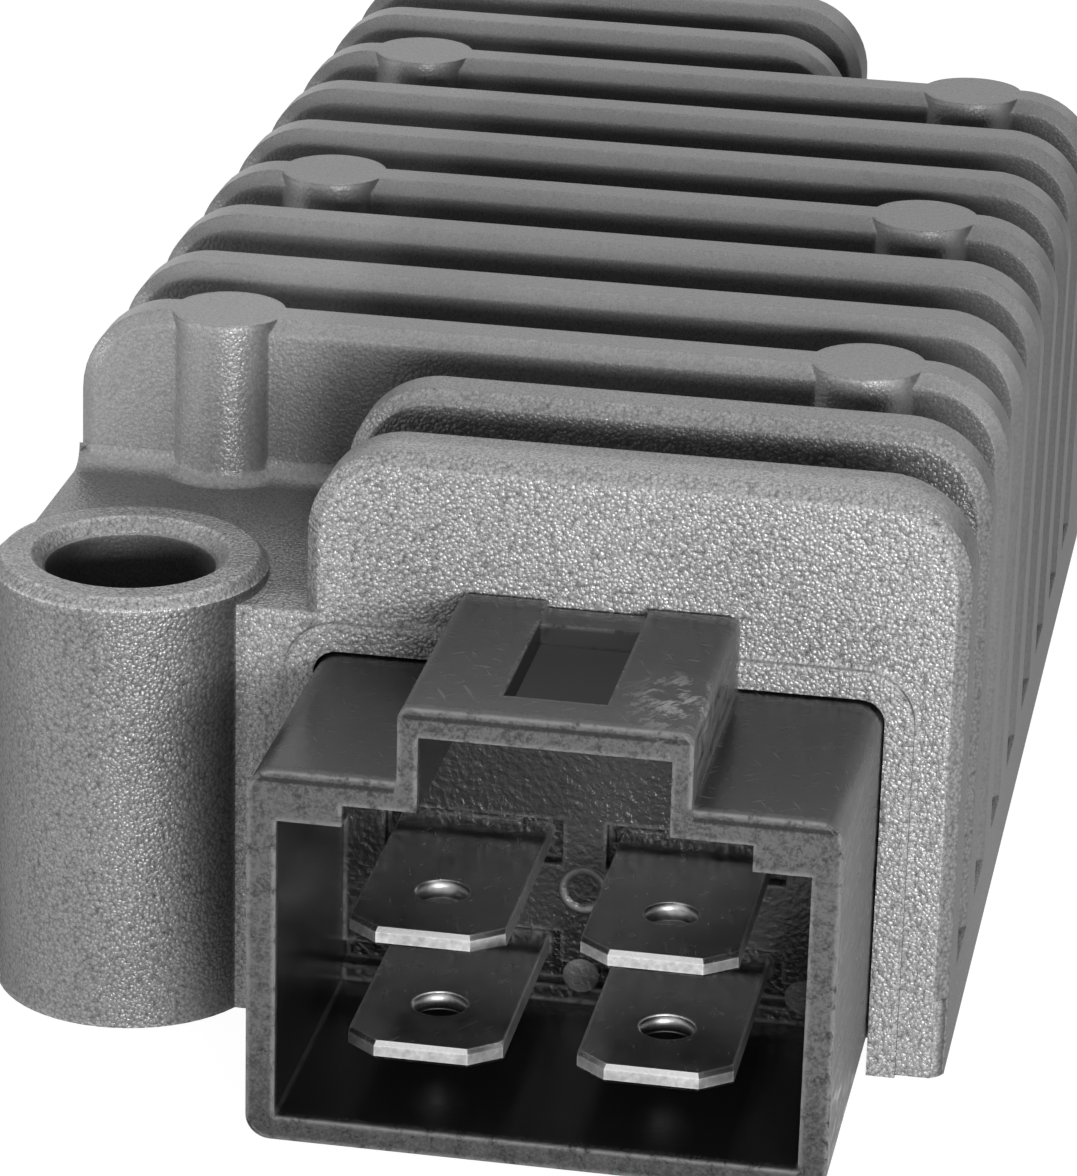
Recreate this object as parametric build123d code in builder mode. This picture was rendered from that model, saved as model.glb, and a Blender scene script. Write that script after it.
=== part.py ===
"""Voltage regulator rectifier: a finned die casting with a four-way blade connector in its
front wall and the electronics set in resin underneath. The flat base is at z = 0, the fins
stand up along +Z and the connector looks along -Y. All sizes are in millimetres."""

import os

from build123d import *

os.makedirs("parts", exist_ok=True)

# Casting: fins across X, cooling slots open above and at both long sides
fin_count = 11
fin_pitch = 7.1
fin_tip = 2.7
fin_root = 4.2
fin_corner_radius = 3.8
fin_edge_chamfer = 0.55
body_width = 40.4
body_height = 25.3
deck_height = 18.2
slot_root_radius = 1.0
slot_side_depth = 2.8
base_flange_height = 3.5
base_corner_radius = 0.8
short_fins = 2
corner_width = 13.3
corner_edge_radius = 0.7
foot_radius = 1.0

# Mounting bosses, one at the front left corner and one at the rear right
boss_radius = 5.75
boss_height = 19.1
boss_inset_x = 5.35
boss_inset_y = 2.65
boss_edge_chamfer = 0.45
mount_hole_radius = 3.55
mount_hole_chamfer = 0.6

# Ejector columns on every third fin
column_tip_radius = 2.45
column_root_radius = 2.65
column_spacing = 27.8
column_foot = 0.5
column_fins = (3, 6, 9)

# Underside hollow
side_wall = 2.4
end_wall = 3.2
roof_thickness = 4.2
hollow_corner_radius = 2.0
resin_recess = 0.65

# Connector shell
connector_margin = 3.25
connector_reach = 12.6
shell_width = 23.3
shell_height = 15.95
shell_lift = 0.65
shell_side_wall = 1.15
shell_top_wall = 1.2
shell_floor = 1.0
shell_rear_wall = 2.8
shell_corner_radius = 1.0
shell_fit = 0.1
collar_margin = 1.3
collar_thickness = 0.3
collar_corner_radius = 2.2
cover_width = 11.5
cover_rise = 3.15
cover_side_wall = 0.8
cover_top_wall = 1.2
cover_edge_radius = 0.5
window_width = 4.1
window_length = 8.4
window_back = 1.8
bridge_recess = 0.3
key_length = 3.0
left_key_width = 2.6
left_key_height = 0.9
right_key_width = 2.3
right_key_height = 1.1
socket_margin = 0.6
socket_depth = 0.8
ledge_rise = 0.7
pad_radius = 0.75

# Blade terminals
blade_width = 6.3
blade_thickness = 0.8
blade_pitch = 9.3
blade_offset = -0.4
blade_inset = 2.3
blade_tip_length = 1.25
blade_tip_cut = 1.0
blade_hole_radius = 1.1
blade_hole_from_tip = 4.0
lower_blade_top = 4.25
blade_row_pitch = 5.0
tail_length = 5.0
tail_bend_radius = 0.4

# Circuit board
board_thickness = 1.6
board_margin = 0.8
board_corner_radius = 1.0

# Power devices, their insulators and their clamp screws
device_width = 10.0
device_length = 9.2
device_thickness = 4.4
tab_length = 6.4
tab_thickness = 1.3
device_rear_gap = 9.0
insulator_thickness = 0.2
insulator_margin = 0.5
screw_radius = 1.5
screw_clearance = 0.25
screw_head_radius = 2.8
screw_head_height = 1.8
screw_bite = 3.2
lead_width = 0.8
lead_thickness = 0.5
lead_pitch = 2.54
lead_reach = 2.6

# Small parts on the board
capacitor_radius = 3.15
capacitor_length = 11.0
diode_radius = 1.35
diode_length = 5.2
resistor_radius = 1.2
resistor_length = 6.4
transistor_radius = 2.4
transistor_height = 4.6
wire_radius = 0.3
wire_overhang = 1.6
standoff = 0.5
axial_row_gap = 13.0
second_row_gap = 10.0
board_edge_gap = 1.5

# Places that follow from the sizes above
body_length = (fin_count - 1) * fin_pitch + fin_root
boss_overhang = boss_radius - boss_inset_y
front_y = (connector_reach - body_length - boss_overhang) / 2
middle_y = front_y + body_length / 2
rear_y = front_y + body_length
boss_x = body_width / 2 - boss_inset_x
boss_y = body_length / 2 - boss_inset_y
boss_spots = [(-boss_x, middle_y - boss_y), (boss_x, middle_y + boss_y)]
core_width = body_width - 2 * slot_side_depth
connector_x = body_width / 2 - connector_margin - shell_width / 2
short_fin_length = body_width - corner_width
short_fin_x = corner_width / 2
corner_length = short_fins * fin_pitch
roof_z = deck_height - roof_thickness
inner_y = front_y + end_wall
shell_top = shell_lift + shell_height
cover_top = shell_top + cover_rise
cavity_floor = shell_lift + shell_floor
cavity_roof = shell_top - shell_top_wall
cavity_half = shell_width / 2 - shell_side_wall
mouth_y = front_y - connector_reach
rear_wall_y = inner_y - shell_rear_wall
seat_y = front_y - collar_thickness
board_z = lower_blade_top
board_top = board_z + board_thickness
upper_blade_top = lower_blade_top + blade_row_pitch
board_front = inner_y + board_margin
board_rear = rear_y - end_wall - board_margin
device_z = roof_z - insulator_thickness
blade_middle = connector_x + blade_offset
blade_places = [blade_middle - blade_pitch / 2, blade_middle + blade_pitch / 2]
pad_places = [blade_middle, blade_middle + blade_pitch]
hollow_width = core_width - 2 * side_wall
hollow_length = body_length - 2 * end_wall
board_width = hollow_width - 2 * board_margin
screw_y = rear_y - device_rear_gap - tab_length / 2
screw_spots = [(-hollow_width / 4, screw_y), (hollow_width / 4, screw_y)]
axial_row_y = board_front + tail_length + axial_row_gap
second_row_y = axial_row_y + second_row_gap
capacitor_x = board_edge_gap + capacitor_length / 2 - board_width / 2
transistor_x = board_width / 2 - board_edge_gap - transistor_radius


def across(y):
    """Upright sketch plane at y, seen from the front: its x is X and its y is Z."""
    return Plane.XZ.offset(-y)


def panel(x_middle, width, low, high, mode=Mode.ADD):
    """Rectangle on an upright plane, between two heights."""
    with Locations((x_middle, (low + high) / 2)):
        Rectangle(width, high - low, mode=mode)


# Heat sink. Three banks of fins: those in front and at the rear stop short of a boss
banks = [
    (short_fin_x, short_fin_length, 0, short_fins),
    (0, body_width, short_fins, fin_count - short_fins),
    (-short_fin_x, short_fin_length, fin_count - short_fins, fin_count),
]
taper = (fin_root - fin_tip) / (body_height - base_flange_height)
deck_half = (fin_pitch - fin_root + taper * (deck_height - base_flange_height)) / 2
foot_half = (fin_pitch - fin_root) / 2
tip_half = (fin_pitch - fin_tip) / 2
slots = [front_y + fin_root / 2 + (gap + 0.5) * fin_pitch for gap in range(fin_count - 1)]
corners = [(-1, middle_y - body_length / 2), (1, middle_y + body_length / 2)]


def slot_sections(low, low_half):
    """Sections of all the slots on a YZ plane, wider at the top."""
    for slot_y in slots:
        Polygon(
            (slot_y - low_half, low),
            (slot_y + low_half, low),
            (slot_y + tip_half, body_height),
            (slot_y - tip_half, body_height),
            align=None,
        )


# The block under the deck, with a rounded root beside each fin
with BuildPart() as deck_block:
    with BuildSketch(Plane.YZ.offset(-core_width / 2)):
        with Locations((middle_y, (deck_height + slot_root_radius) / 2)):
            Rectangle(body_length, deck_height + slot_root_radius)
    extrude(amount=core_width)
    with BuildSketch(Plane.YZ.offset(-core_width / 2)):
        slot_sections(deck_height, deck_half)
        fillet(vertices().group_by(Axis.Y)[0], slot_root_radius)
    extrude(amount=core_width, mode=Mode.SUBTRACT)
    for side, end_y in corners:
        open_width = corner_width + fin_edge_chamfer
        open_length = corner_length - slot_root_radius
        corner_x = side * (body_width - open_width) / 2
        with BuildSketch(Plane.XY.offset(deck_height)):
            with Locations((corner_x, end_y - side * open_length / 2)):
                Rectangle(open_width, open_length)
        extrude(amount=slot_root_radius, mode=Mode.SUBTRACT)

# The two corner decks that carry the bosses, each with a soft outer edge and a hollow
# fillet at the foot of the long fin behind it
corner_decks = []
for side, end_y in corners:
    corner_x = side * (body_width - corner_width) / 2
    corner_reach = corner_length + fin_root / 2
    fin_face_y = end_y - side * (corner_length + deck_half - foot_half)
    with BuildPart() as corner_deck:
        with BuildSketch():
            with Locations((corner_x, end_y - side * corner_reach / 2)):
                Rectangle(corner_width, corner_reach)
        extrude(amount=deck_height)
        top_edges = edges().group_by(Axis.Z)[-1]
        fillet(top_edges.filter_by(Axis.X).sort_by(Axis.Y)[-1 if side > 0 else 0], corner_edge_radius)
        with BuildSketch(Plane.YZ.offset(corner_x - corner_width / 2)):
            with Locations((fin_face_y + side * foot_radius / 2, deck_height + foot_radius / 2)):
                Rectangle(foot_radius, foot_radius)
            with Locations((fin_face_y + side * foot_radius, deck_height + foot_radius)):
                Circle(foot_radius, mode=Mode.SUBTRACT)
        extrude(amount=corner_width)
    corner_decks.append(corner_deck)

with BuildPart() as heat_sink:
    for x_middle, length, first, last in banks:
        with BuildSketch(across(front_y + first * fin_pitch)):
            panel(x_middle, length, 0, body_height)
            fillet(vertices().group_by(Axis.Y)[-1], fin_corner_radius)
        extrude(amount=-((last - first - 1) * fin_pitch + fin_root))
    with BuildSketch(Plane.YZ.offset(-body_width / 2)):
        slot_sections(base_flange_height, foot_half)
    extrude(amount=body_width, mode=Mode.SUBTRACT)
    outer = edges().filter_by(Axis.Y, reverse=True)
    outer = outer.filter_by(lambda edge: edge.center().Z > base_flange_height)
    chamfer(outer, fin_edge_chamfer)
    add(deck_block.part)
    # Base flange, and the two corner decks that carry the bosses
    with BuildSketch():
        with Locations((0, middle_y)):
            RectangleRounded(body_width, body_length, base_corner_radius)
    extrude(amount=base_flange_height)
    for corner_deck in corner_decks:
        add(corner_deck.part)
    # Bosses
    for x, y in boss_spots:
        with BuildSketch():
            with Locations((x, y)):
                Circle(boss_radius)
        extrude(amount=boss_height)
    rims = edges().filter_by(GeomType.CIRCLE).filter_by_position(Axis.Z, boss_height, boss_height)
    chamfer(rims, boss_edge_chamfer)
    # Ejector columns, flush with the fin tops
    column_height = body_height - deck_height
    for fin in column_fins:
        fin_y = front_y + (fin - 1) * fin_pitch + fin_root / 2
        with Locations((0, fin_y, deck_height + column_height / 2)):
            with GridLocations(column_spacing, 1, 2, 1):
                Cone(column_root_radius, column_tip_radius, column_height)
        with Locations((0, fin_y, deck_height + column_foot / 2)):
            with GridLocations(column_spacing, 1, 2, 1):
                Cone(column_root_radius + column_foot, column_root_radius, column_foot)
    # Collar round the connector and the recess that takes its shell
    with BuildSketch(across(seat_y)):
        panel(connector_x, shell_width + 2 * collar_margin, 0, shell_top + collar_margin)
        fillet(vertices().group_by(Axis.Y)[-1], collar_corner_radius)
    extrude(amount=-collar_thickness)
    with BuildSketch(across(seat_y)):
        panel(connector_x, shell_width + 2 * shell_fit, 0, shell_top + shell_fit)
        fillet(vertices().group_by(Axis.Y)[-1], shell_corner_radius)
    extrude(amount=-(collar_thickness + end_wall), mode=Mode.SUBTRACT)
    # Hollow underneath, which keeps clear of both bosses
    with BuildSketch():
        with Locations((0, middle_y)):
            RectangleRounded(hollow_width, hollow_length, hollow_corner_radius)
        with Locations(boss_spots):
            Circle(boss_radius, mode=Mode.SUBTRACT)
    extrude(amount=roof_z, mode=Mode.SUBTRACT)
    # Mounting holes and the tapped holes for the clamp screws
    with Locations([(x, y, boss_height) for x, y in boss_spots]):
        mouth_radius = mount_hole_radius + mount_hole_chamfer
        CounterSinkHole(mount_hole_radius, mouth_radius, boss_height, 90)
    with BuildSketch(Plane.XY.offset(roof_z)):
        with Locations(screw_spots):
            Circle(screw_radius)
    extrude(amount=screw_bite, mode=Mode.SUBTRACT)

heat_sink.part.label = "heat_sink"
export_step(heat_sink.part, "parts/heat_sink.step")

# Connector shell: a box open in front, with the latch cover on top of it
with BuildPart() as connector_shell:
    with BuildSketch(across(mouth_y)):
        panel(connector_x, shell_width, shell_lift, shell_top)
        fillet(vertices(), shell_corner_radius)
    extrude(amount=-(connector_reach + end_wall))
    with BuildSketch(across(mouth_y)):
        panel(connector_x, cover_width, cavity_roof, cover_top)
        fillet(vertices().group_by(Axis.Y)[-1], cover_edge_radius)
    extrude(amount=-(connector_reach - collar_thickness))
    with BuildSketch(across(mouth_y)):
        panel(connector_x, 2 * cavity_half, cavity_floor, cavity_roof)
        key_left = connector_x - cavity_half + left_key_width / 2
        key_right = connector_x + cavity_half - right_key_width / 2
        panel(key_left, left_key_width, cavity_roof - left_key_height, cavity_roof, Mode.SUBTRACT)
        panel(key_right, right_key_width, cavity_roof - right_key_height, cavity_roof, Mode.SUBTRACT)
    extrude(amount=-key_length, mode=Mode.SUBTRACT)
    with BuildSketch(across(mouth_y + key_length)):
        panel(connector_x, 2 * cavity_half, cavity_floor, cavity_roof)
    extrude(amount=-(rear_wall_y - mouth_y - key_length), mode=Mode.SUBTRACT)
    with BuildSketch(across(mouth_y)):
        inner_width = cover_width - 2 * cover_side_wall
        panel(connector_x, inner_width, cavity_roof, cover_top - cover_top_wall)
    extrude(amount=-(seat_y - cover_top_wall - mouth_y), mode=Mode.SUBTRACT)
    # Window in the cover and the recessed strip behind it
    with BuildSketch(Plane.XY.offset(cover_top)):
        with Locations((connector_x, seat_y - window_back - window_length / 2)):
            Rectangle(window_width, window_length)
    extrude(amount=-cover_top_wall, mode=Mode.SUBTRACT)
    with BuildSketch(Plane.XY.offset(cover_top)):
        with Locations((connector_x, seat_y - window_back / 2)):
            Rectangle(window_width, window_back)
    extrude(amount=-bridge_recess, mode=Mode.SUBTRACT)
    # Pockets round the blades in the rear wall, and the slots that the blades pass
    with BuildSketch(across(rear_wall_y)):
        for top in (lower_blade_top, upper_blade_top):
            for x in blade_places:
                low = top - blade_thickness - socket_margin
                panel(x, blade_width + 2 * socket_margin, low, top + socket_margin)
        ledge_top = lower_blade_top - blade_thickness
        panel(connector_x, 2 * cavity_half, cavity_floor + ledge_rise, ledge_top)
        with Locations([(x, (cavity_floor + ledge_rise + ledge_top) / 2) for x in pad_places]):
            Circle(pad_radius, mode=Mode.SUBTRACT)
    extrude(amount=-socket_depth, mode=Mode.SUBTRACT)
    with BuildSketch(across(rear_wall_y)):
        for top in (lower_blade_top, upper_blade_top):
            for x in blade_places:
                panel(x, blade_width, top - blade_thickness, top)
    extrude(amount=-shell_rear_wall, mode=Mode.SUBTRACT)

connector_shell.part.label = "connector_shell"
export_step(connector_shell.part, "parts/connector_shell.step")

# Blade terminals: the upper pair turns down to the board, the lower pair lies under it
tip_y = mouth_y + blade_inset
tail_y = board_front + tail_length
rows = {"bottom": lower_blade_top, "top": upper_blade_top}
terminals = []
for row, top in rows.items():
    for side, x in zip(("left", "right"), blade_places):
        with BuildPart() as terminal:
            with BuildSketch(Plane.YZ.offset(x - blade_width / 2)):
                with BuildLine():
                    if row == "top":
                        Polyline(
                            (tip_y, top - blade_thickness),
                            (tail_y - blade_thickness, top - blade_thickness),
                            (tail_y - blade_thickness, board_top),
                            (tail_y, board_top),
                            (tail_y, top),
                            (tip_y, top),
                            close=True,
                        )
                    else:
                        Polyline(
                            (tip_y, top - blade_thickness),
                            (tail_y, top - blade_thickness),
                            (tail_y, top),
                            (tip_y, top),
                            close=True,
                        )
                make_face()
                if row == "top":
                    bend = vertices().sort_by(Axis.X)[2:]
                    fillet(bend.group_by(Axis.Y)[-1], blade_thickness + tail_bend_radius)
                    fillet(bend.group_by(Axis.Y)[-2], tail_bend_radius)
            extrude(amount=blade_width)
            corners = edges().filter_by(Axis.Z).group_by(Axis.Y)[0]
            front_face = faces().sort_by(Axis.Y)[0]
            chamfer(corners, blade_tip_length, blade_tip_cut, reference=front_face)
            with Locations((x, tip_y + blade_hole_from_tip, top)):
                Hole(blade_hole_radius, blade_thickness)
        terminal.part.label = f"terminal_{row}_{side}"
        export_step(terminal.part, f"parts/terminal_{row}_{side}.step")
        terminals.append(terminal)

# Circuit board
with BuildPart() as circuit_board:
    with BuildSketch(Plane.XY.offset(board_z)):
        with Locations((0, (board_front + board_rear) / 2)):
            RectangleRounded(board_width, board_rear - board_front, board_corner_radius)
        with Locations(boss_spots):
            Circle(boss_radius + board_margin, mode=Mode.SUBTRACT)
    extrude(amount=board_thickness)
circuit_board.part.label = "circuit_board"
export_step(circuit_board.part, "parts/circuit_board.step")

# Power devices under the roof, each on its insulator and held by a screw
devices, insulators, screws = [], [], []
for name, (x, y) in zip(("battery", "lighting"), screw_spots):
    body_rear = y - tab_length / 2
    body_front = body_rear - device_length
    tab_rear = body_rear + tab_length
    with BuildPart() as insulator:
        with BuildSketch(Plane.XY.offset(device_z)):
            with Locations((x, (body_front + tab_rear) / 2)):
                insulator_length = tab_rear - body_front + 2 * insulator_margin
                Rectangle(device_width + 2 * insulator_margin, insulator_length)
            with Locations((x, y)):
                Circle(screw_radius + screw_clearance, mode=Mode.SUBTRACT)
        extrude(amount=insulator_thickness)
    with BuildPart() as thyristor:
        with BuildSketch(Plane.XY.offset(device_z)):
            with Locations((x, (body_front + body_rear) / 2)):
                Rectangle(device_width, device_length)
        extrude(amount=-device_thickness)
        with BuildSketch(Plane.XY.offset(device_z)):
            with Locations((x, (body_front + tab_rear) / 2)):
                Rectangle(device_width, tab_rear - body_front)
            with Locations((x, y)):
                Circle(screw_radius + screw_clearance, mode=Mode.SUBTRACT)
        extrude(amount=-tab_thickness)
        # Three legs, out of the front and down to the board
        leg_z = device_z - device_thickness / 2
        leg_y = body_front - lead_reach
        for step in (-1, 0, 1):
            with BuildSketch(Plane.YZ.offset(x + step * lead_pitch - lead_width / 2)):
                with BuildLine():
                    Polyline(
                        (body_front, leg_z),
                        (leg_y, leg_z),
                        (leg_y, board_top),
                        (leg_y + lead_thickness, board_top),
                        (leg_y + lead_thickness, leg_z - lead_thickness),
                        (body_front, leg_z - lead_thickness),
                        close=True,
                    )
                make_face()
            extrude(amount=lead_width)
    with BuildPart() as clamp_screw:
        head_z = device_z - tab_thickness
        with BuildSketch(Plane.XY.offset(head_z)):
            with Locations((x, y)):
                Circle(screw_head_radius)
        extrude(amount=-screw_head_height)
        with BuildSketch(Plane.XY.offset(head_z)):
            with Locations((x, y)):
                Circle(screw_radius)
        extrude(amount=roof_z + screw_bite - head_z)
    thyristor.part.label = f"{name}_thyristor"
    insulator.part.label = f"{name}_insulator"
    clamp_screw.part.label = f"{name}_clamp_screw"
    export_step(thyristor.part, f"parts/{name}_thyristor.step")
    export_step(insulator.part, f"parts/{name}_insulator.step")
    export_step(clamp_screw.part, f"parts/{name}_clamp_screw.step")
    devices.append(thyristor)
    insulators.append(insulator)
    screws.append(clamp_screw)

# Parts with a wire at each end, laid along Y in one row on the board: length and radius
axial_parts = {
    "zener_diode": (diode_length, diode_radius),
    "rectifier_diode": (diode_length, diode_radius),
    "gate_resistor": (resistor_length, resistor_radius),
    "sense_resistor": (resistor_length, resistor_radius),
    "bias_resistor": (resistor_length, resistor_radius),
    "bleed_resistor": (resistor_length, resistor_radius),
}
small_parts = []
axial_spacing = board_width / len(axial_parts)
for column, (name, (length, radius)) in enumerate(axial_parts.items()):
    x = (column - (len(axial_parts) - 1) / 2) * axial_spacing
    y = axial_row_y
    axis_z = board_top + standoff + radius
    with BuildPart() as axial:
        with BuildSketch(across(y - length / 2)):
            with Locations((x, axis_z)):
                Circle(radius)
        extrude(amount=-length)
        for side in (-1, 1):
            end_y = y + side * (length / 2 + wire_overhang)
            with BuildSketch(across(y + side * length / 2)):
                with Locations((x, axis_z)):
                    Rectangle(2 * wire_radius, 2 * wire_radius)
            extrude(amount=-side * (wire_overhang + wire_radius))
            with BuildSketch(Plane.XY.offset(board_top)):
                with Locations((x, end_y)):
                    Rectangle(2 * wire_radius, 2 * wire_radius)
            extrude(amount=axis_z - board_top)
    axial.part.label = name
    export_step(axial.part, f"parts/{name}.step")
    small_parts.append(axial)

# Smoothing capacitor, lying on its side
with BuildPart() as smoothing_capacitor:
    with BuildSketch(Plane.YZ.offset(capacitor_x - capacitor_length / 2)):
        with Locations((second_row_y, board_top + capacitor_radius)):
            Circle(capacitor_radius)
    extrude(amount=capacitor_length)
smoothing_capacitor.part.label = "smoothing_capacitor"
export_step(smoothing_capacitor.part, "parts/smoothing_capacitor.step")
small_parts.append(smoothing_capacitor)

# Driver transistor, standing, with one flat side
with BuildPart() as driver_transistor:
    with BuildSketch(Plane.XY.offset(board_top)):
        with Locations((transistor_x, second_row_y)):
            Circle(transistor_radius)
        with Locations((transistor_x, second_row_y + transistor_radius)):
            Rectangle(2 * transistor_radius, transistor_radius, mode=Mode.SUBTRACT)
    extrude(amount=transistor_height)
driver_transistor.part.label = "driver_transistor"
export_step(driver_transistor.part, "parts/driver_transistor.step")
small_parts.append(driver_transistor)

# Resin: fills the hollow up to just inside the base, round everything in it
with BuildPart() as potting_compound:
    with BuildSketch(Plane.XY.offset(resin_recess)):
        with Locations((0, middle_y)):
            RectangleRounded(hollow_width, hollow_length, hollow_corner_radius)
        with Locations(boss_spots):
            Circle(boss_radius, mode=Mode.SUBTRACT)
    extrude(amount=roof_z - resin_recess)
    # Air is left round each screw's shank
    with BuildSketch(Plane.XY.offset(device_z - tab_thickness)):
        with Locations(screw_spots):
            Circle(screw_radius + screw_clearance)
    extrude(amount=tab_thickness + insulator_thickness, mode=Mode.SUBTRACT)
    for inner in [circuit_board, *terminals, *devices, *insulators, *screws, *small_parts]:
        add(inner.part, mode=Mode.SUBTRACT)
potting_compound.part.label = "potting_compound"
export_step(potting_compound.part, "parts/potting_compound.step")
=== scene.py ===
"""Looks of a voltage regulator rectifier: grainy die-cast fins, a black moulded connector
with a rubbed rim, and tinned blades. Laid out as an add-on and run as a script."""

import math

import bmesh
import bpy
from bpy.props import FloatProperty, FloatVectorProperty, PointerProperty
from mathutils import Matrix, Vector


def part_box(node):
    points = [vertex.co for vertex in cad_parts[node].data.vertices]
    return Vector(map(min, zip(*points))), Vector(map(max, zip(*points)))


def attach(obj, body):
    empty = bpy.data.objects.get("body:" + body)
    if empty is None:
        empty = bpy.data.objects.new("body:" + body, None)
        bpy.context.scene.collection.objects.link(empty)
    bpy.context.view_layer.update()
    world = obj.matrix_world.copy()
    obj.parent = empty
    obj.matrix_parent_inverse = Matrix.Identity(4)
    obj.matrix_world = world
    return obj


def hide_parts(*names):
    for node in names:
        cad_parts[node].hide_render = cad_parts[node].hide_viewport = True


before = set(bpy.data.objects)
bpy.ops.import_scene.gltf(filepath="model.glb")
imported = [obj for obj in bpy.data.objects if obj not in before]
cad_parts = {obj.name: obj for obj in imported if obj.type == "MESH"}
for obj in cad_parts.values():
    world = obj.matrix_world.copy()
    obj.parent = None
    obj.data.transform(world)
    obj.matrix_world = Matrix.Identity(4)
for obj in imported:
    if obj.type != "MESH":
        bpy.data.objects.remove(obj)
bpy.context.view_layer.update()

bl_info = {
    "name": "Voltage Regulator Rectifier",
    "version": (1, 0, 0),
    "blender": (4, 5, 0),
    "location": "View3D > Sidebar > Regulator",
    "description": "Finishes a finned regulator rectifier and its studio",
    "category": "Object",
}

MM = 0.001
BLACK, WHITE = (0.0, 0.0, 0.0, 1.0), (1.0, 1.0, 1.0, 1.0)

# A pair in brackets, here and below, is where a smooth change starts and where it ends

# When a face counts as turned towards an axis, by that part of its normal
TURNED = (0.6, 0.9)
TURNED_SIDEWAYS = (0.5, 0.9)

# The casting: places behind its front, from its left side and below its top
CAST_LOW, CAST_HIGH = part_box("heat_sink")
FRONT_WALL_END = (4.5 * MM, 5.5 * MM)
CAST_ROUNDING = 0.38 * MM
GRAIN_CALMS = (6 * MM, 22 * MM)
LIGHT_FALLS = (14 * MM, 44 * MM)
CORNER_ENDS = (9.5 * MM, 12.5 * MM)
BRIGHT_TOP = 1 * MM
RIM_DROP = 2 * MM
BOSS_RADIUS = 5.75 * MM
BOSS_SOFTNESS = 0.3 * MM
BORE_RADIUS = 3.62 * MM
BORE_SOFTNESS = 0.04 * MM

# The connector shell: places behind its mouth, across it, below its top and above its foot
SHELL_LOW, SHELL_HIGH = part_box("connector_shell")
MIDDLE = (SHELL_LOW[0] + SHELL_HIGH[0]) / 2
SHELL_ROUNDING = 0.3 * MM
COVER_RISE = 3.15 * MM
COVER_SIDE = (5.75 * MM, 5.85 * MM)
COVER_TOP = (0.2 * MM, 0.6 * MM)
TOPS_END = (COVER_RISE + 0.3 * MM, COVER_RISE + 0.5 * MM)
RIGHT_HALF = (0.0, 4 * MM)
DARK_FOOT = (0.0, 8 * MM)
MOUTH = (0.2 * MM, 0.7 * MM)
LIP = (0.4 * MM, 0.9 * MM)
REAR_WALL = (11 * MM, 12 * MM)
POCKET_FLOOR = (13.2 * MM, 13.6 * MM)
SEAM_START, SEAM_END = (0.2 * MM, 0.32 * MM), (0.42 * MM, 0.55 * MM)
RUBBED_ACROSS, RUBBED_BACK = 4.6 * MM, 3.0 * MM
RUBBED_RADIUS, RUBBED_SOFTNESS = 1.3 * MM, 1.1 * MM
EJECTOR_ACROSS, EJECTOR_HEIGHT = -0.4 * MM, 6.8 * MM
EJECTOR_RADIUS, EJECTOR_HOLLOW = 1.0 * MM, 0.75 * MM
PAD_HEIGHT, PAD_PITCH, PAD_RADIUS = 2.9 * MM, 9.3 * MM, 0.75 * MM
LEDGE_TOP = (2.4 * MM, 2.5 * MM)

# The blades
BLADE_ROUNDING = 0.14 * MM
TIP_LENGTH = 1.1 * MM
SPECK = 0.01 * MM

# Angles between two faces, in radians, that are nearly flat and that make an edge
FLAT, SHARP = 0.01, 0.6


# Shader maths


class Wire:
    """A shader socket that takes part in expressions."""

    def __init__(self, sheet, socket):
        self.sheet = sheet
        self.socket = socket

    def math(self, operation, *others, clamp=False):
        settings = {"operation": operation, "use_clamp": clamp}
        return self.sheet.node("ShaderNodeMath", settings, dict(enumerate((self, *others))))

    def __add__(self, other):
        return self.math("ADD", other)

    def __radd__(self, other):
        return self.math("ADD", other)

    def __sub__(self, other):
        return self.math("SUBTRACT", other)

    def __rsub__(self, other):
        return self.sheet.node("ShaderNodeMath", {"operation": "SUBTRACT"}, {0: other, 1: self})

    def __mul__(self, other):
        return self.math("MULTIPLY", other)

    def __rmul__(self, other):
        return self.math("MULTIPLY", other)

    def __neg__(self):
        return self.math("MULTIPLY", -1.0)

    def __abs__(self):
        return self.math("ABSOLUTE")

    def most(self, other):
        return self.math("MAXIMUM", other)

    def clipped(self):
        return self.math("ADD", 0.0, clamp=True)

    def band(self, low, high):
        """0 below low, 1 above high, with a smooth rise between them."""
        return self.sheet.node(
            "ShaderNodeMapRange",
            {"interpolation_type": "SMOOTHSTEP"},
            {"Value": self, "From Min": low, "From Max": high},
        )


class Sheet:
    """An emptied node tree of a material or of the world."""

    def __init__(self, tree):
        self.tree = tree
        self.tree.nodes.clear()

    def node(self, kind, settings, values, output=0):
        """One node: its settings are set first, then the values or links of its sockets."""
        made = self.tree.nodes.new(kind)
        for key, value in settings.items():
            setattr(made, key, value)
        for key, value in values.items():
            if isinstance(value, Wire):
                self.tree.links.new(value.socket, made.inputs[key])
            else:
                made.inputs[key].default_value = value
        return Wire(self, made.outputs[output] if made.outputs else None)

    def split(self, vector):
        """The X, Y and Z of a vector."""
        parts = self.node("ShaderNodeSeparateXYZ", {}, {0: vector}).socket.node
        return [Wire(self, output) for output in parts.outputs]

    def seen_by(self, *rays):
        """1 for these kinds of rays, and 0 for others."""
        found = self.node("ShaderNodeLightPath", {}, {}, rays[0])
        for ray in rays[1:]:
            found = found.most(self.node("ShaderNodeLightPath", {}, {}, ray))
        return found

    def blend(self, share, first, second):
        """A shader between two, by a share from 0 to 1."""
        return self.node("ShaderNodeMixShader", {}, {0: share, 1: first, 2: second})


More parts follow.
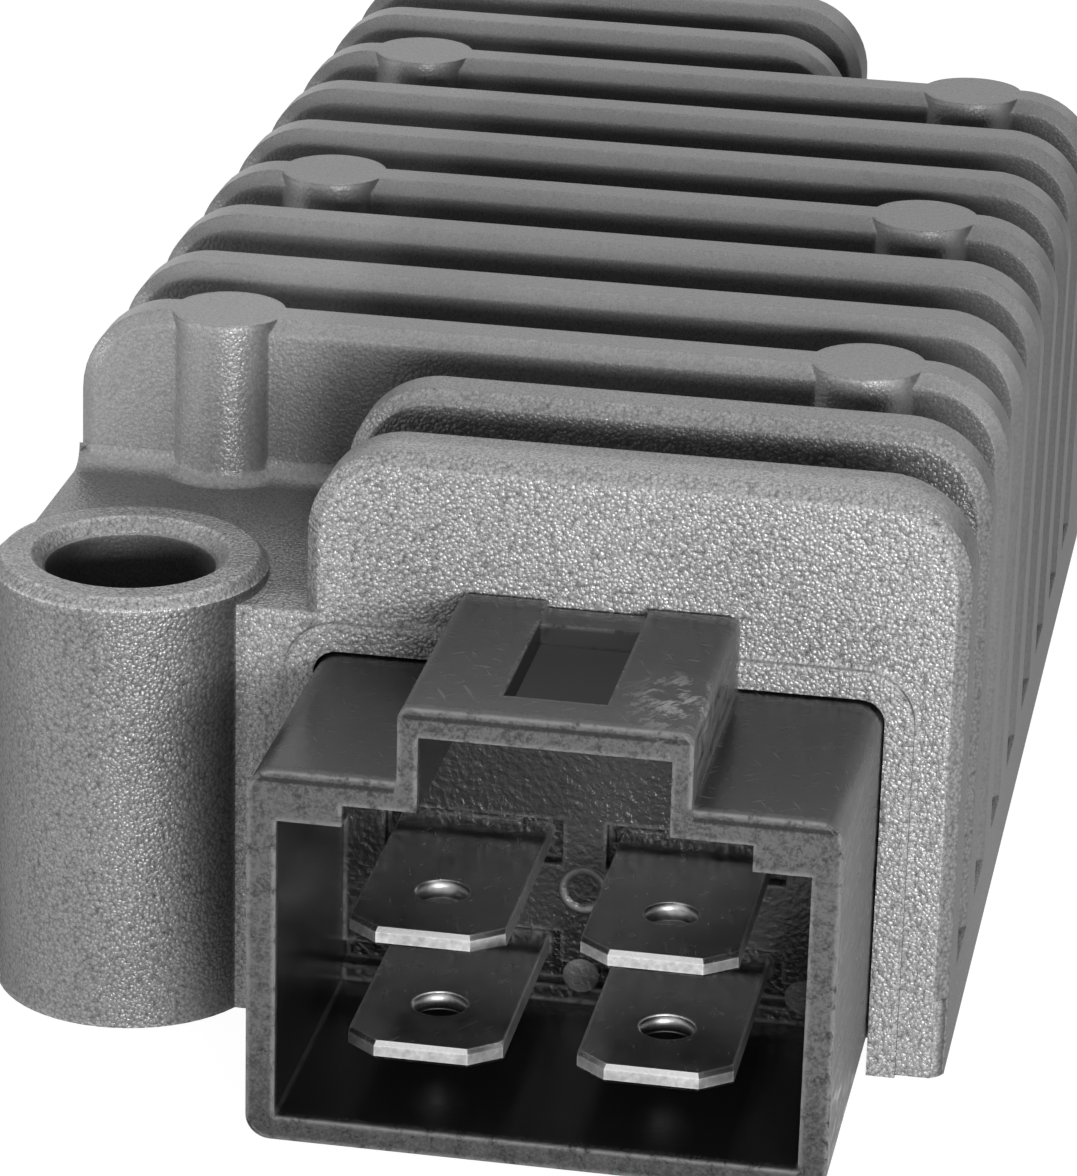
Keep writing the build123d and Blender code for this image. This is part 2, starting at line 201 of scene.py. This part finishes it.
class Finish(Sheet):
    """A material with one Principled shader, and the nodes that feed it."""

    def __init__(self, name, **constants):
        self.material = bpy.data.materials.new(name)
        self.material.use_nodes = True
        super().__init__(self.material.node_tree)
        values = {socket.replace("_", " "): value for socket, value in constants.items()}
        surface = self.node("ShaderNodeBsdfPrincipled", {}, values)
        self.shader = surface.socket.node
        self.node("ShaderNodeOutputMaterial", {}, {"Surface": surface})
        self.place = self.node("ShaderNodeTexCoord", {}, {}, "Object")
        self.normal = self.node("ShaderNodeNewGeometry", {}, {}, "Normal")

    def feed(self, **wires):
        for socket, wire in wires.items():
            self.tree.links.new(wire.socket, self.shader.inputs[socket.replace("_", " ")])

    def noise(self, size, detail=2.0, roughness=0.5, stretch=(1, 1, 1), turn=0.0):
        """Noise from 0 to 1 with features of about that size in metres. Each is drawn out by
        stretch along the axes, which are turned about Z first."""
        turned = {"Vector": self.place, "Scale": stretch, "Rotation": (0.0, 0.0, turn)}
        vector = self.node("ShaderNodeMapping", {"vector_type": "TEXTURE"}, turned)
        values = {"Vector": vector, "Scale": 1 / size, "Detail": detail, "Roughness": roughness}
        return self.node("ShaderNodeTexNoise", {}, values)

    def cells(self, size):
        """The distance from the middles of cells of about that size in metres."""
        values = {"Vector": self.place, "Scale": 1 / size}
        return self.node("ShaderNodeTexVoronoi", {}, values, "Distance")

    def hairlines(self, width, length, turn):
        """Sparse fine lines from 0 to 1, that many times longer than wide, turned about Z."""
        fibres = self.noise(width, detail=1, stretch=(1, length, 1), turn=turn)
        return fibres.band(0.7, 0.76)

    def rounded(self, radius):
        """The normal rounded over edges within that radius."""
        return self.node("ShaderNodeBevel", {"samples": 2}, {"Radius": radius})

    def edges(self, rounded):
        """0 on flat ground and up to 1 on edges, from how far the rounded normal turns."""
        settings = {"operation": "DOT_PRODUCT"}
        values = {0: self.normal, 1: rounded}
        dot = self.node("ShaderNodeVectorMath", settings, values, "Value")
        return (1 - dot).band(0.006, 0.08)

    def disc(self, a, b, radius, softness):
        """1 within a radius of the place where both a and b are 0, and 0 outside."""
        return 1 - (a * a + b * b).math("SQRT").band(radius - softness, radius + softness)

    def mix(self, share, low, high):
        """A colour between two, by a share from 0 to 1."""
        # A Mix node holds sockets of each data type: 6 and 7 take colours, and 2 gives one
        sockets = {"Factor": share, 6: low, 7: high}
        return self.node("ShaderNodeMix", {"data_type": "RGBA"}, sockets, 2)

    def grey(self, level):
        """The colour of a wired grey level."""
        return self.mix(level.clipped(), BLACK, WHITE)

    def bump(self, height, depth, strength, below=None):
        """A normal raised by height, a share of depth in metres, over the normal below."""
        values = {"Height": height, "Distance": depth, "Strength": strength}
        if below is not None:
            values["Normal"] = below
        return self.node("ShaderNodeBump", {}, values)


def grey(level):
    return (level, level, level, 1.0)


def named(*endings):
    """The nodes whose names end in one of the endings."""
    found = [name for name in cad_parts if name.endswith(endings)]
    if not found:
        raise RuntimeError(f"the frame has no node that ends in {endings}")
    return found


def dress(nodes, material):
    """Gives a material to CAD nodes, whose shapes stay as they are."""
    for name in nodes:
        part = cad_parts[name]
        part.data.materials.clear()
        part.data.materials.append(material)


def bevelled_copy(name, tip_bevel, side_bevel):
    """A copy of a blade's solid with a coined tip and softened sides and hole."""
    work = bmesh.new()
    work.from_mesh(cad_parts[name].data)
    bmesh.ops.remove_doubles(work, verts=work.verts, dist=SPECK / 10)
    bmesh.ops.dissolve_limit(work, angle_limit=FLAT, verts=work.verts, edges=work.edges)
    low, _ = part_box(name)
    tip_end = low[1] + TIP_LENGTH

    def soften(start, end, offset, segments):
        """Bevels the sharp level edges whose middles lie between two places along Y."""
        found = []
        for edge in work.edges:
            a, b = (corner.co for corner in edge.verts)
            level = abs(a.z - b.z) < SPECK
            within = start <= (a.y + b.y) / 2 < end
            if level and within and len(edge.link_faces) == 2 and edge.calc_face_angle() > SHARP:
                found.append(edge)
        bmesh.ops.bevel(
            work, geom=found, offset=offset, segments=segments, affect="EDGES", clamp_overlap=True
        )

    soften(low[1] - TIP_LENGTH, tip_end, tip_bevel, 1)
    soften(tip_end, SHELL_HIGH[1], side_bevel, 2)
    bmesh.ops.triangulate(work, faces=work.faces)
    bmesh.ops.recalc_face_normals(work, faces=work.faces)
    mesh = bpy.data.meshes.new(f"{name}_blade")
    work.to_mesh(mesh)
    work.free()
    piece = bpy.data.objects.new(f"{name}_blade", mesh)
    bpy.context.scene.collection.objects.link(piece)
    return piece


# Settings


def share_setting(name, description, default):
    return FloatProperty(
        name=name, description=description, default=default, min=0, max=1, subtype="FACTOR"
    )


def length_setting(name, description, default):
    return FloatProperty(
        name=name, description=description, default=default, unit="LENGTH", precision=6
    )


class CastingSettings(bpy.types.PropertyGroup):
    """Finish of the die casting."""

    face_grey: share_setting("Face grey", "Grey of the open faces", 0.36)
    grain_size: length_setting("Grain size", "Width of one grain of the cast skin", 0.165 * MM)
    grain_depth: length_setting("Grain depth", "Height of the grains", 0.05 * MM)


class ConnectorSettings(bpy.types.PropertyGroup):
    """Finish of the connector shell."""

    plastic_grey: share_setting("Plastic grey", "Grey of the moulding", 0.009)
    rim_grey: share_setting("Rim grey", "Grey of the rubbed rim", 0.095)
    edge_grey: share_setting("Edge grey", "Grey of the rubbed edges", 0.5)
    rim_depth: length_setting("Rim depth", "How far back the rim is rubbed", 0.5 * MM)


class BladeSettings(bpy.types.PropertyGroup):
    """Finish of the blade terminals."""

    tip_bevel: length_setting("Tip bevel", "Bevel of the blade's tip", 0.18 * MM)
    side_bevel: length_setting("Side bevel", "Bevel of the blade's sides and hole", 0.07 * MM)
    tin_grey: share_setting("Tin grey", "Grey of the tin plate", 0.68)


class StudioSettings(bpy.types.PropertyGroup):
    """Camera and room."""

    camera_place: FloatVectorProperty(
        name="Camera place",
        description="Where the camera stands",
        default=(0.03623, -0.22922, 0.09806),
        subtype="TRANSLATION",
        unit="LENGTH",
    )
    camera_turn: FloatVectorProperty(
        name="Camera turn",
        description="Turn of the camera about X, Y and Z",
        default=(math.radians(67.129), math.radians(-1.548), math.radians(10.01)),
        subtype="EULER",
        unit="ROTATION",
    )
    lens: FloatProperty(
        name="Lens", description="Focal length in millimetres", default=162.407, min=1
    )
    shift: FloatVectorProperty(
        name="Shift", description="Camera shift", size=2, default=(-0.01998, 0.11884)
    )
    room_light: share_setting("Room light", "Light of the room on matt surfaces", 0.15)
    floor_grey: share_setting("Floor grey", "Grey of the floor", 0.8)


class RegulatorSettings(bpy.types.PropertyGroup):
    """All that a user would change."""

    casting: PointerProperty(type=CastingSettings)
    connector: PointerProperty(type=ConnectorSettings)
    blades: PointerProperty(type=BladeSettings)
    studio: PointerProperty(type=StudioSettings)


# Operators


class REGULATOR_OT_casting(bpy.types.Operator):
    """Finish the die casting with its grainy skin"""

    bl_idname = "regulator.casting"
    bl_label = "Casting"

    def execute(self, context):
        look = context.scene.regulator.casting
        skin = Finish("cast_skin", Metallic=0.28, Specular_IOR_Level=0.4)
        x, y, z = skin.split(skin.place)
        facing_x, facing_y, facing_z = skin.split(skin.normal)
        rounded = skin.rounded(CAST_ROUNDING)
        depth = y - CAST_LOW[1]
        across = x - CAST_LOW[0]
        drop = CAST_HIGH[2] - z
        from_boss, past_boss = across - BOSS_RADIUS, depth - BOSS_RADIUS

        # The grain, which calms down towards the rear and in the bore
        bore = skin.disc(from_boss, past_boss, BORE_RADIUS, BORE_SOFTNESS)
        patches = skin.noise(7 * MM, detail=2)
        pebbles = 1 - skin.cells(look.grain_size)
        grains = skin.noise(look.grain_size * 0.5, detail=1, roughness=0.6)
        calm = (1 - 0.75 * depth.band(*GRAIN_CALMS)) * (1 - 0.6 * bore)
        grain_tone = 0.9 * (pebbles - 0.6) + 0.9 * (grains - 0.5)
        height = (pebbles * 1.1 + grains * 0.7) * calm

        # Places: faces in the slots, the corner deck, the boss, edges and rear rims
        behind = depth.band(*FRONT_WALL_END)
        slot = behind * abs(facing_y).band(*TURNED) * drop.band(0.0, BRIGHT_TOP)
        corner = 1 - across.band(*CORNER_ENDS)
        boss = skin.disc(from_boss, past_boss, BOSS_RADIUS + BOSS_SOFTNESS, BOSS_SOFTNESS)
        rims = skin.edges(rounded) * (1 - 0.6 * slot)
        rear_rims = skin.split(rounded)[1].band(0.0, 0.6) * (1 - drop.band(0.0, RIM_DROP))

        # Painted shade, as a share darker than the open faces: in the slots and the bore, on both
        # sides, on the level top faces behind the front wall, on the boss's wall and towards the
        # rear, with less near the open left corner
        right_side_shade = 0.7 * facing_x.band(*TURNED_SIDEWAYS)
        left_side_shade = 0.35 * (-facing_x).band(0.3, 0.9)
        slot_shade = slot * (0.55 - 0.38 * corner)
        top_shade = (0.4 - 0.26 * corner) * facing_z.band(*TURNED) * behind
        boss_wall_shade = 0.36 * boss * (1 - facing_z.band(0.3, 0.7))
        rearward_shade = 0.34 * depth.band(*LIGHT_FALLS)
        darker = [slot_shade, 0.3 * bore, right_side_shade, left_side_shade, top_shade, boss_wall_shade, rearward_shade]
        # Painted shade on the rims that turn to the rear near the top
        shade = math.prod(1 - share for share in darker) * (1 - 0.5 * rear_rims)
        # Painted highlight: edges painted lighter, most on the boss's rims and least in the slots
        rubbed_and_highlit = 1 + (0.5 + 1.2 * boss) * rims
        tone = look.face_grey * (0.8 + 0.3 * patches + calm * grain_tone)
        skin.feed(Base_Color=skin.grey(tone * shade * rubbed_and_highlit))
        rough = 0.3 + 0.3 * (grains - 0.5) + 0.25 * abs(facing_x).band(*TURNED_SIDEWAYS)
        skin.feed(Roughness=rough.clipped())
        skin.feed(Normal=skin.bump(height, look.grain_depth, 0.8, below=rounded))
        dress(["heat_sink"], skin.material)
        return {"FINISHED"}


class REGULATOR_OT_connector(bpy.types.Operator):
    """Finish the black connector shell, lighter on its scuffed rim, with painted light on its
    right side and painted highlights on its edges, ejector ring and pads
    """

    bl_idname = "regulator.connector"
    bl_label = "Connector"

    def execute(self, context):
        look = context.scene.regulator.connector
        plastic = Finish("black_moulding", Specular_IOR_Level=0.4, Coat_Roughness=0.22)
        x, y, z = plastic.split(plastic.place)
        facing_x, _, facing_z = plastic.split(plastic.normal)
        rounded = plastic.rounded(SHELL_ROUNDING)
        depth = y - SHELL_LOW[1]
        across = x - MIDDLE
        drop = SHELL_HIGH[2] - z
        rise = z - SHELL_LOW[2]

        # Textures of wear
        scuffs = plastic.noise(1.1 * MM, detail=4, roughness=0.7)
        streaks = plastic.noise(0.5 * MM, detail=4, roughness=0.75, stretch=(1, 4, 1))
        speckle = plastic.noise(0.14 * MM, detail=3, roughness=0.65)
        scrapes = plastic.noise(0.22 * MM, detail=4, roughness=0.7, stretch=(1, 5, 1), turn=-0.5)
        dust = 1 - plastic.cells(0.7 * MM).band(0.035, 0.06)
        lines = plastic.hairlines(0.16 * MM, 14, 0.5).most(plastic.hairlines(0.13 * MM, 9, -0.9))
        lines = lines.most(plastic.hairlines(0.2 * MM, 6, 1.4)) * scuffs.band(0.36, 0.5)

        # Places on the moulding
        rear = depth.band(*REAR_WALL)
        pocket = depth.band(*POCKET_FLOOR)
        on_cover = 1 - abs(across).band(*COVER_SIDE)
        on_top = 1 - drop.band(*TOPS_END)

        # The rim, rubbed back to a ragged line and parted by its seam
        ragged = depth + (scuffs - 0.5) * 0.8 * MM
        rim = 1 - ragged.band(0.1 * MM, 0.1 * MM + look.rim_depth)
        below = drop - (1 - on_cover) * COVER_RISE
        seam = below.band(*SEAM_START) * (1 - below.band(*SEAM_END))
        rubbed_and_highlit = rim * (0.1 + 0.7 * streaks.band(0.3, 0.7) + 0.9 * speckle.band(0.4, 0.7))
        rubbed_and_highlit = rubbed_and_highlit * (1 - 0.9 * seam) * (0.45 + 0.55 * rise.band(*DARK_FOOT))

        # Edges: scuffed at the lip and the cover's top, with painted highlights on the other
        # edges, most on the cavity's rear wall. The right side is painted lighter where light
        # falls on it. Also the cover's scuffed corner and scratches on the top
        outside = (1 - depth.band(*LIP)).most(0.6 * (1 - drop.band(*COVER_TOP)))
        edge = plastic.edges(rounded) * streaks.band(0.32, 0.5) * outside.most(0.16 + 0.4 * rear)
        side = facing_x.band(0.7, 0.95) * streaks.band(0.3, 0.6) * across.band(*RIGHT_HALF)
        past_rub = 0.6 * (depth - RUBBED_BACK)
        corner = plastic.disc(across - RUBBED_ACROSS, past_rub, RUBBED_RADIUS, RUBBED_SOFTNESS)
        corner = corner * on_cover * (1 - drop.band(1 * MM, 2 * MM))
        corner = corner * scrapes.band(0.42, 0.56) * scuffs.band(0.45, 0.58)
        scratched = (0.9 * (lines + 1.6 * dust) * on_top).most(corner) * facing_z.band(0.5, 0.9)
        wear_and_lit_side = rubbed_and_highlit.most(1.1 * side).most(scratched)

        # The ejector mark, whose ring gets a painted highlight; the ledge; and its two pads,
        # painted lighter where the blades' shade falls
        from_mark = across - EJECTOR_ACROSS
        up_mark = z - EJECTOR_HEIGHT
        mark = plastic.disc(from_mark, up_mark, EJECTOR_RADIUS, 0.08 * MM)
        ring = (mark - plastic.disc(from_mark, up_mark, EJECTOR_HOLLOW, 0.12 * MM)) * rear
        up_pad = z - PAD_HEIGHT
        pads = plastic.disc(from_mark, up_pad, PAD_RADIUS, 0.03 * MM)
        pads = pads.most(plastic.disc(from_mark - PAD_PITCH, up_pad, PAD_RADIUS, 0.03 * MM))
        ledge = pocket * (1 - z.band(*LEDGE_TOP))

        # The scuffed grey also carries the right side painted lighter as lit; the edge grey
        # carries scuffs and painted highlights
        tone = plastic.mix(wear_and_lit_side.clipped(), grey(look.plastic_grey), grey(look.rim_grey))
        tone = plastic.mix((0.8 * edge).most(0.8 * corner), tone, grey(look.edge_grey))
        # Painted highlight on the ring and painted light on the pads; the ledge is lighter in
        # streaks
        light = ring.most(ledge * streaks).most(pads * rear)
        tone = plastic.mix(light, tone, grey(look.rim_grey * 1.6))
        fine = plastic.noise(0.3 * MM, detail=3)
        near_mouth = 1 - depth.band(*MOUTH)
        height = (0.1 + rear) * fine + 0.2 * speckle * near_mouth + ring
        plastic.feed(Base_Color=tone, Coat_Weight=rear * (1 - pocket) * 0.5)
        plastic.feed(Roughness=(0.24 + 0.3 * wear_and_lit_side + 0.15 * (scuffs - 0.5)).clipped())
        plastic.feed(Normal=plastic.bump(height, 0.12 * MM, 0.7, below=rounded))
        dress(["connector_shell"], plastic.material)
        return {"FINISHED"}


class REGULATOR_OT_blades(bpy.types.Operator):
    """Finish the four tinned blades"""

    bl_idname = "regulator.blades"
    bl_label = "Blades"

    def execute(self, context):
        look = context.scene.regulator.blades
        tin = Finish("tin_plate", Metallic=1.0)
        facing_z = tin.split(tin.normal)[2]
        wall = 1 - abs(facing_z).band(0.4, 0.8)
        brushed = tin.noise(0.12 * MM, detail=3, stretch=(1, 12, 1))
        clouds = tin.noise(1.6 * MM, detail=5, roughness=0.65)
        torn = tin.noise(0.25 * MM, detail=3)
        lines = tin.hairlines(0.09 * MM, 20, 0.25).most(tin.hairlines(0.11 * MM, 12, -0.6))
        edge = tin.edges(tin.rounded(BLADE_ROUNDING))
        tone = look.tin_grey + 0.12 * (brushed - 0.5) + 0.3 * (clouds - 0.5) + 0.12 * lines
        # Painted highlight: the edges are painted lighter than the flat tin
        tin.feed(Base_Color=tin.grey((tone + 0.3 * edge) * (1 - 0.7 * wall * torn)))
        rough = 0.22 + 0.1 * edge + 0.3 * (clouds - 0.5) + 0.06 * lines + 0.22 * wall
        tin.feed(Roughness=rough.clipped())
        tin.feed(Normal=tin.bump(brushed + 2 * torn * wall, 0.006 * MM, 0.5))
        for name in named("_left", "_right"):
            blade = bevelled_copy(name, look.tip_bevel, look.side_bevel)
            blade.data.materials.append(tin.material)
            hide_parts(name)
            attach(blade, "root")
        return {"FINISHED"}


class REGULATOR_OT_inside(bpy.types.Operator):
    """Finish the resin, the board and the parts set in the resin"""

    bl_idname = "regulator.inside"
    bl_label = "Inside"

    def execute(self, context):
        # Grey, roughness, metallic and the endings of the nodes that have the finish
        finishes = {
            "cast_resin": (0.018, 0.22, 0.0, ["potting_compound"]),
            "moulded_package": (0.02, 0.5, 0.0, ["thyristor", "diode", "transistor"]),
            "zinc_plate": (0.5, 0.35, 1.0, ["clamp_screw"]),
            "grey_insulator": (0.35, 0.6, 0.0, ["insulator"]),
            "capacitor_sleeve": (0.03, 0.35, 0.0, ["capacitor"]),
            "lacquered_body": (0.3, 0.4, 0.0, ["resistor"]),
            "board_laminate": (0.08, 0.45, 0.0, ["circuit_board"]),
        }
        for name, (level, roughness, metallic, endings) in finishes.items():
            finish = Finish(name, Metallic=metallic)
            cloud = finish.noise(2.5 * MM, detail=4)
            fine = finish.noise(0.3 * MM, detail=3)
            finish.feed(Base_Color=finish.grey(level * (0.8 + 0.4 * cloud)))
            finish.feed(Roughness=(roughness + 0.15 * (fine - 0.5)).clipped())
            finish.feed(Normal=finish.bump(fine, 0.01 * MM, 0.5))
            dress(named(*endings), finish.material)
        return {"FINISHED"}


class REGULATOR_OT_studio(bpy.types.Operator):
    """Set up the white floor, the lamps and the camera"""

    bl_idname = "regulator.studio"
    bl_label = "Studio"

    def execute(self, context):
        look = context.scene.regulator.studio
        context.scene.view_settings.view_transform = "Standard"
        self.set_camera(context.scene, look)
        self.set_lamps(context.scene)
        self.set_world(context.scene, look.room_light)
        self.lay_floor(context.scene, look.floor_grey)
        return {"FINISHED"}

    def set_camera(self, scene, look):
        data = bpy.data.cameras.new("photo_camera")
        data.lens = look.lens
        data.sensor_width = 36
        data.shift_x, data.shift_y = look.shift
        data.clip_start = 0.01
        camera = bpy.data.objects.new("photo_camera", data)
        camera.location = look.camera_place
        camera.rotation_euler = look.camera_turn
        scene.collection.objects.link(camera)
        scene.camera = camera

    def set_lamps(self, scene):
        """Three area lamps that look at the origin: place, width, height and watts."""
        lamps = {
            "key_lamp": ((0.17, -0.43, 0.08), 0.24, 0.08, 2.0),
            "left_lamp": ((-0.75, -0.2, 0.12), 0.4, 0.2, 1.5),
            "top_lamp": ((0.0, 0.35, 0.5), 0.35, 0.35, 0.7),
        }
        for name, (place, width, height, watts) in lamps.items():
            data = bpy.data.lights.new(name, "AREA")
            data.energy = watts
            data.shape = "RECTANGLE"
            data.size, data.size_y = width, height
            lamp = bpy.data.objects.new(name, data)
            lamp.location = place
            aim = -lamp.location
            lamp.rotation_euler = aim.to_track_quat("-Z", "Y").to_euler()
            scene.collection.objects.link(lamp)

    def set_world(self, scene, room_light):
        """A white room that lights matt surfaces softly."""
        world = bpy.data.worlds.new("white_room")
        world.use_nodes = True
        scene.world = world
        room = Sheet(world.node_tree)
        seen = room.seen_by("Is Camera Ray", "Is Transmission Ray", "Is Glossy Ray")
        soft = room.node("ShaderNodeBackground", {}, {"Color": WHITE, "Strength": room_light})
        white = room.node("ShaderNodeBackground", {}, {"Color": WHITE, "Strength": 1.0})
        room.node("ShaderNodeOutputWorld", {}, {"Surface": room.blend(seen, soft, white)})

    def lay_floor(self, scene, floor_grey):
        """A white floor that keeps the object's shadow."""
        half, drop = 3.0, 0.1 * MM
        mesh = bpy.data.meshes.new("floor")
        corners = [(-half, -half), (half, -half), (half, half), (-half, half)]
        mesh.from_pydata([(a, b, -drop) for a, b in corners], [], [(0, 1, 2, 3)])
        floor = bpy.data.objects.new("floor", mesh)
        scene.collection.objects.link(floor)
        material = bpy.data.materials.new("white_floor")
        material.use_nodes = True
        ground = Sheet(material.node_tree)
        seen = ground.seen_by("Is Camera Ray", "Is Transmission Ray", "Is Glossy Ray")
        matt = ground.node("ShaderNodeBsdfDiffuse", {}, {"Color": grey(floor_grey)})
        glow = ground.node("ShaderNodeEmission", {}, {"Strength": 1.2})
        surface = ground.blend(0.8 * seen, matt, glow)
        ground.node("ShaderNodeOutputMaterial", {}, {"Surface": surface})
        mesh.materials.append(material)


class REGULATOR_PT_panel(bpy.types.Panel):
    """Buttons for the regulator's pieces"""

    bl_idname = "REGULATOR_PT_panel"
    bl_label = "Regulator"
    bl_space_type = "VIEW_3D"
    bl_region_type = "UI"
    bl_category = "Regulator"

    def draw(self, context):
        for operator in OPERATORS:
            self.layout.operator(operator.bl_idname)


OPERATORS = [
    REGULATOR_OT_casting,
    REGULATOR_OT_connector,
    REGULATOR_OT_blades,
    REGULATOR_OT_inside,
    REGULATOR_OT_studio,
]
CLASSES = [
    CastingSettings,
    ConnectorSettings,
    BladeSettings,
    StudioSettings,
    RegulatorSettings,
    *OPERATORS,
    REGULATOR_PT_panel,
]


def register():
    for cls in CLASSES:
        bpy.utils.register_class(cls)
    bpy.types.Scene.regulator = PointerProperty(type=RegulatorSettings)


def unregister():
    del bpy.types.Scene.regulator
    for cls in reversed(CLASSES):
        bpy.utils.unregister_class(cls)


def main():
    register()
    bpy.ops.regulator.casting()
    bpy.ops.regulator.connector()
    bpy.ops.regulator.blades()
    bpy.ops.regulator.inside()
    bpy.ops.regulator.studio()


if __name__ == "__main__":
    main()
